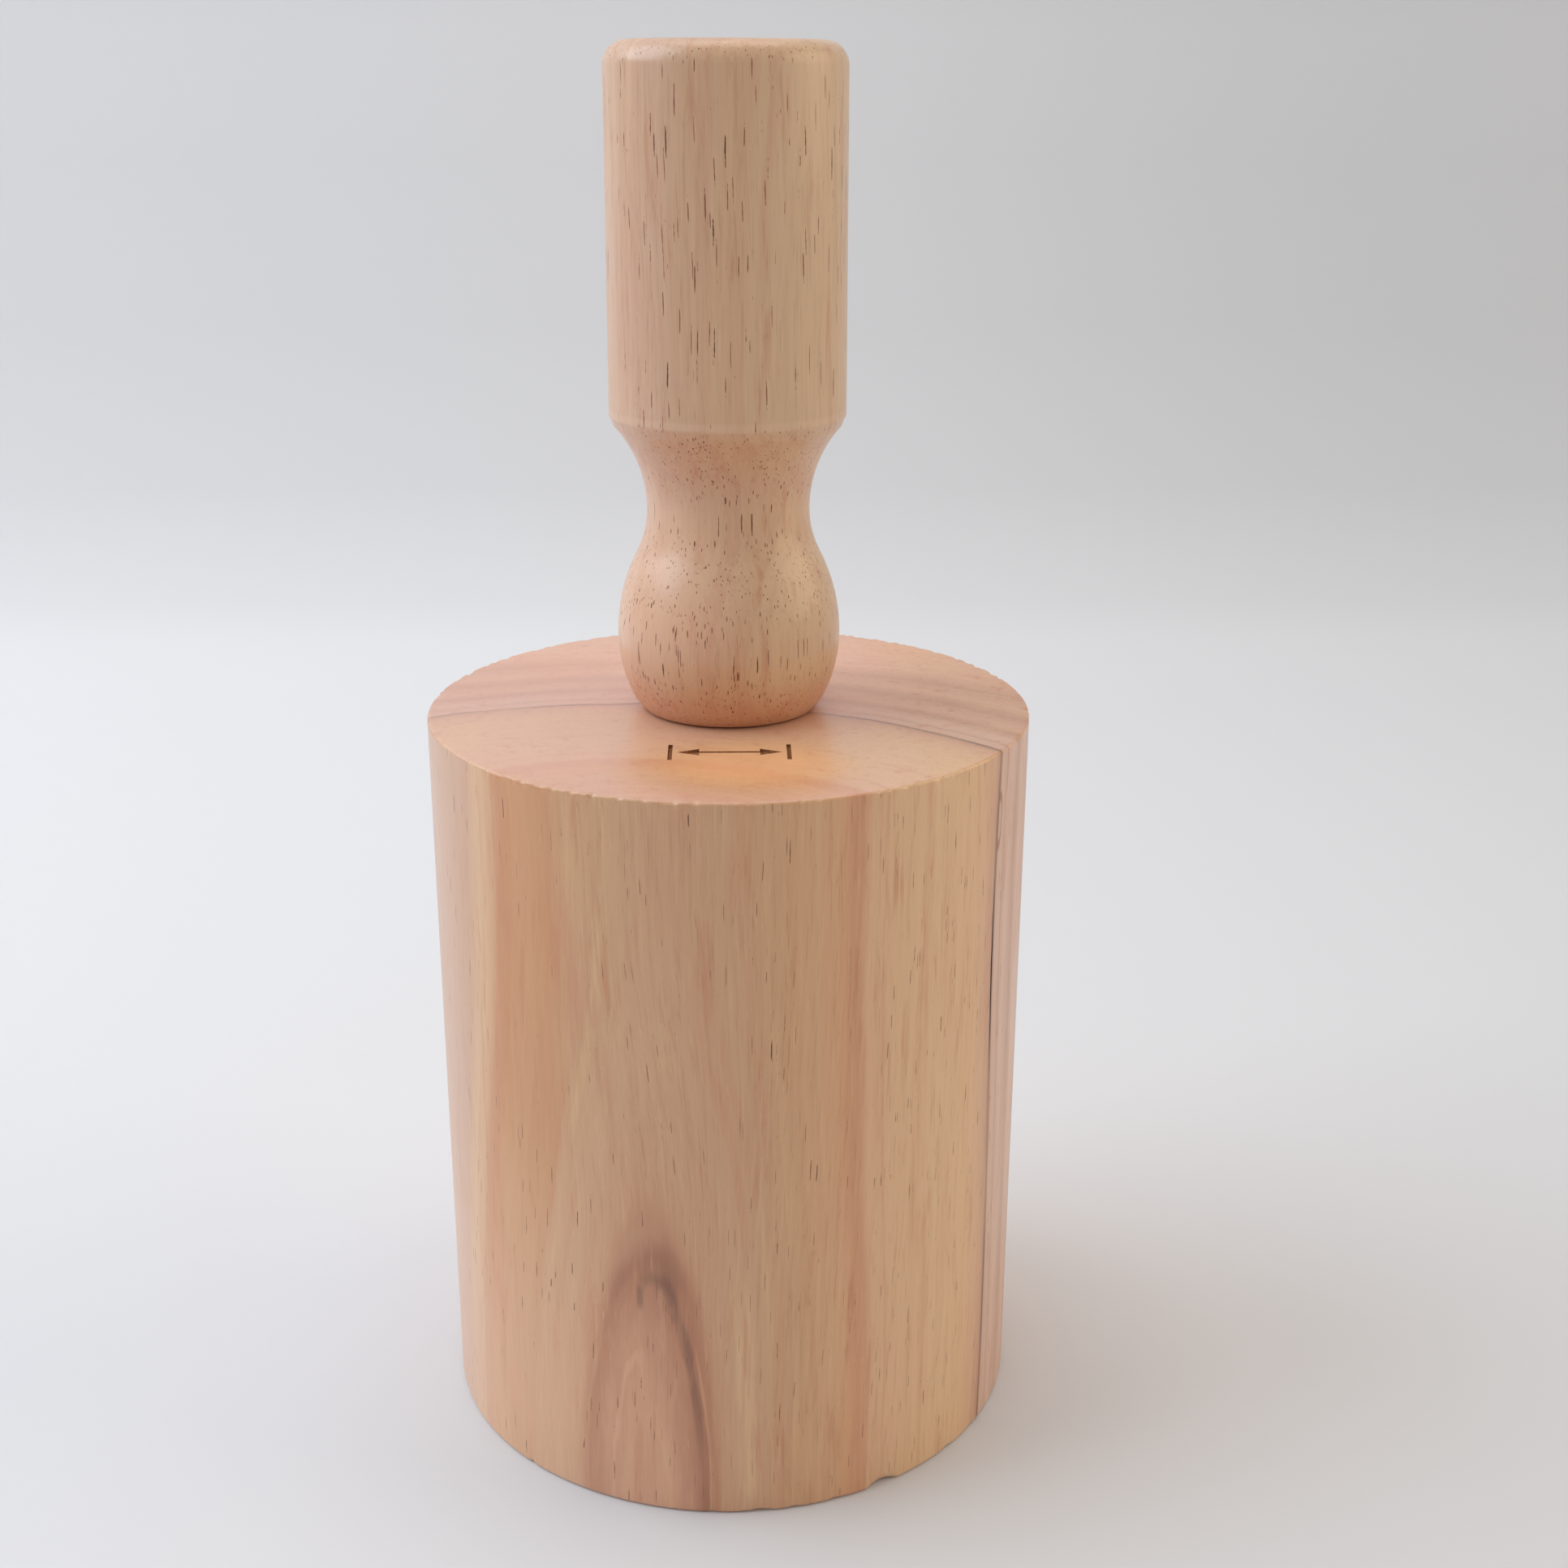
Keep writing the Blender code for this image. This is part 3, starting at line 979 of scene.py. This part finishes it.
def mark_cutter(top, material):
    """Prisms for the engraved mark: a double-headed arrow between two limit lines."""
    tip = MARK_HALF_WIDTH - MARK_STROKE / 2 - MARK_ARROW_GAP
    shoulder = tip - MARK_ARROW_LENGTH
    half = MARK_STROKE / 2
    wide = MARK_ARROW_HALF_HEIGHT
    tall = MARK_LIMIT_HEIGHT / 2
    head = [(shoulder, half), (shoulder, wide), (tip, 0), (shoulder, -wide), (shoulder, -half)]
    arrow = [*head, *[(-x, -y) for x, y in head]]
    outlines = [arrow]
    for x in (-MARK_HALF_WIDTH, MARK_HALF_WIDTH):
        left, right = x - half, x + half
        outlines.append([(left, -tall), (left, tall), (right, tall), (right, -tall)])
    bm = bmesh.new()
    for outline in outlines:
        moved = [(x, y - MARK_DISTANCE) for x, y in reversed(outline)]
        prism(bm, moved, top - MARK_DEPTH, top + MM)
    bmesh.ops.recalc_face_normals(bm, faces=bm.faces)
    return placed(bm, "mark_cutter", material)


def carve(piece, cutter):
    """Cuts the cutter out of the piece, whose cut faces take the cutter's material."""
    cut = piece.modifiers.new("cut", "BOOLEAN")
    cut.operation = "DIFFERENCE"
    cut.solver = "EXACT"
    cut.material_mode = "TRANSFER"
    cut.object = cutter
    graph = bpy.context.evaluated_depsgraph_get()
    result = bpy.data.meshes.new_from_object(piece.evaluated_get(graph))
    piece.modifiers.remove(cut)
    piece.data = result
    result.set_sharp_from_angle(angle=SHARP_ANGLE)
    bpy.data.objects.remove(cutter)


def crack_angle(radius, height):
    """Angle round the head, from its front to its right, at which the cracked ring comes out."""
    low, high = 0.0, math.pi / 2
    for _ in range(30):
        middle = (low + high) / 2
        x = radius / MM * math.sin(middle)
        y = -radius / MM * math.cos(middle)
        if ring_distance(x, y, height / MM) < CRACK_RING:
            low = middle
        else:
            high = middle
    return low


def crack_cutter(radius, material):
    """A thin wavy wedge that opens the crack and runs out at both ends."""
    bm = bmesh.new()
    rows = []
    for i in range(CRACK_STEPS + 1):
        share = i / CRACK_STEPS
        height = CRACK_LOW + (CRACK_HIGH - CRACK_LOW) * share
        grown = math.sin(math.pi * share) ** CRACK_TAPER
        opening = CRACK_END_OPENING + (1 - CRACK_END_OPENING) * grown
        wave = sum(size * math.sin(rate * share) for rate, size in CRACK_WAVES)
        angle = crack_angle(radius, height) + wave / radius
        row = []
        inner = -CRACK_DEPTH * opening
        for side, reach in ((-1, CUTTER_CLEARANCE), (1, CUTTER_CLEARANCE), (0, inner)):
            turn = angle + side * CRACK_HALF_WIDTH * opening / radius
            out = radius + reach
            row.append(bm.verts.new((out * math.sin(turn), -out * math.cos(turn), height)))
        rows.append(row)
    for lower, upper in zip(rows, rows[1:]):
        for i in range(3):
            j = (i + 1) % 3
            bm.faces.new((lower[i], lower[j], upper[j], upper[i]))
    bm.faces.new(rows[0])
    bm.faces.new(rows[-1])
    bmesh.ops.recalc_face_normals(bm, faces=bm.faces)
    return placed(bm, "crack_cutter", material)


def build_head():
    low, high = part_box("mallet_head")
    radius = (high.x - low.x) / 2
    bm = turned(head_outline(radius, high.z), HEAD_SEGMENTS)
    rng = random.Random(CHIP_SEED)
    chip(bm, radius, high.z, TOP_CHIP_REACH, random_chips(rng, *TOP_CHIPS), -1)
    bottom_chips = [*random_chips(rng, *BOTTOM_CHIPS), LARGE_CHIP]
    chip(bm, radius, low.z, BOTTOM_CHIP_REACH, bottom_chips, 1)
    piece = placed(bm, "head_block", head_material())
    carve(piece, mark_cutter(high.z, burnt_material()))
    carve(piece, crack_cutter(radius, crack_shadow_material()))
    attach(piece, "root")
    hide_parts("mallet_head")


def build_handle():
    low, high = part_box("turned_handle")
    bm = turned(handle_outline(high.z - low.z), HANDLE_SEGMENTS)
    bmesh.ops.translate(bm, verts=bm.verts, vec=(0, 0, low.z))
    piece = placed(bm, "handle_grip", handle_material())
    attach(piece, "root")
    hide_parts("turned_handle")


def dress_dowel():
    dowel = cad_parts["dowel_pin"]
    material = dowel_material()
    for slot in dowel.material_slots:
        slot.material = material


# ---------------------------------------------------------------------- stage


def stage_material():
    """Plain pale paper with painted shade: a little darker to the right and where it curves up
    behind.
    """
    graph = Graph("stage_paper_painted_shade")
    place = graph.place_in_mm()
    x, _, height = graph.split(place)
    # Painted shade: the paper darker towards the right
    sideways = graph.remap(x, -100.0, 380.0)
    colour = graph.mix(sideways, srgb(222, 222, 224), srgb(205, 207, 211))
    # Painted shade: darker where the sweep curves up behind
    stops = [(level / SWEEP_REACH, srgb(shade, shade, shade)) for level, shade in SWEEP_PAINTED_SHADE]
    shades = graph.ramp(graph.times(height, 1 / SWEEP_REACH), stops)
    colour = graph.mix(1.0, colour, shades, "MULTIPLY")
    graph.feed(graph.shader.inputs["Base Color"], colour)
    graph.shader.inputs["Roughness"].default_value = 0.85
    return graph.material


def build_stage():
    """A pale sweep: a floor that curves up into a backdrop well behind the mallet."""
    front, start, curve, top, half = -2.5, 0.36, 0.22, 1.6, 2.5
    profile = [(front, 0.0), (start, 0.0)]
    steps = 24
    for i in range(1, steps + 1):
        angle = math.pi / 2 * i / steps
        profile.append((start + curve * math.sin(angle), curve * (1 - math.cos(angle))))
    profile.append((start + curve, top))
    bm = bmesh.new()
    left = [bm.verts.new((-half, y, z)) for y, z in profile]
    right = [bm.verts.new((half, y, z)) for y, z in profile]
    for i in range(len(profile) - 1):
        bm.faces.new((left[i], right[i], right[i + 1], left[i + 1]))
    placed(bm, "paper_sweep", stage_material())


def aim(obj, target):
    direction = Vector(target) - obj.location
    obj.rotation_mode = "QUATERNION"
    obj.rotation_quaternion = direction.to_track_quat("-Z", "Y")


def softbox(name, place, target, size, power, colour):
    light = bpy.data.lights.new(name, "AREA")
    light.shape = "RECTANGLE"
    light.size, light.size_y = size
    light.energy = power
    light.color = colour
    obj = bpy.data.objects.new(name, light)
    obj.location = place
    bpy.context.scene.collection.objects.link(obj)
    aim(obj, target)


def build_lights():
    for settings in SOFT_LIGHTS:
        softbox(*settings)
    world = bpy.data.worlds.new("studio")
    world.use_nodes = True
    background = world.node_tree.nodes["Background"]
    background.inputs["Color"].default_value = WORLD_COLOUR
    background.inputs["Strength"].default_value = WORLD_STRENGTH
    bpy.context.scene.world = world


def build_camera():
    data = bpy.data.cameras.new("camera")
    data.sensor_width = SENSOR_WIDTH
    data.lens = CAMERA_LENS
    data.clip_start = 0.01
    camera = bpy.data.objects.new("camera", data)
    flat = Vector((math.sin(CAMERA_YAW), math.cos(CAMERA_YAW), 0))
    forward = flat * math.cos(CAMERA_PITCH) - Vector((0, 0, math.sin(CAMERA_PITCH)))
    right = Vector((math.cos(CAMERA_YAW), -math.sin(CAMERA_YAW), 0))
    upward = right.cross(forward)
    tilted = right * math.cos(CAMERA_ROLL) + upward * math.sin(CAMERA_ROLL)
    upward = tilted.cross(forward)
    turn = Matrix((tilted, upward, -forward)).transposed()
    camera.matrix_world = Matrix.Translation(CAMERA_PLACE) @ turn.to_4x4()
    bpy.context.scene.collection.objects.link(camera)
    bpy.context.scene.camera = camera


bpy.context.scene.view_settings.view_transform = "Standard"
build_head()
build_handle()
dress_dowel()
build_stage()
build_lights()
build_camera()
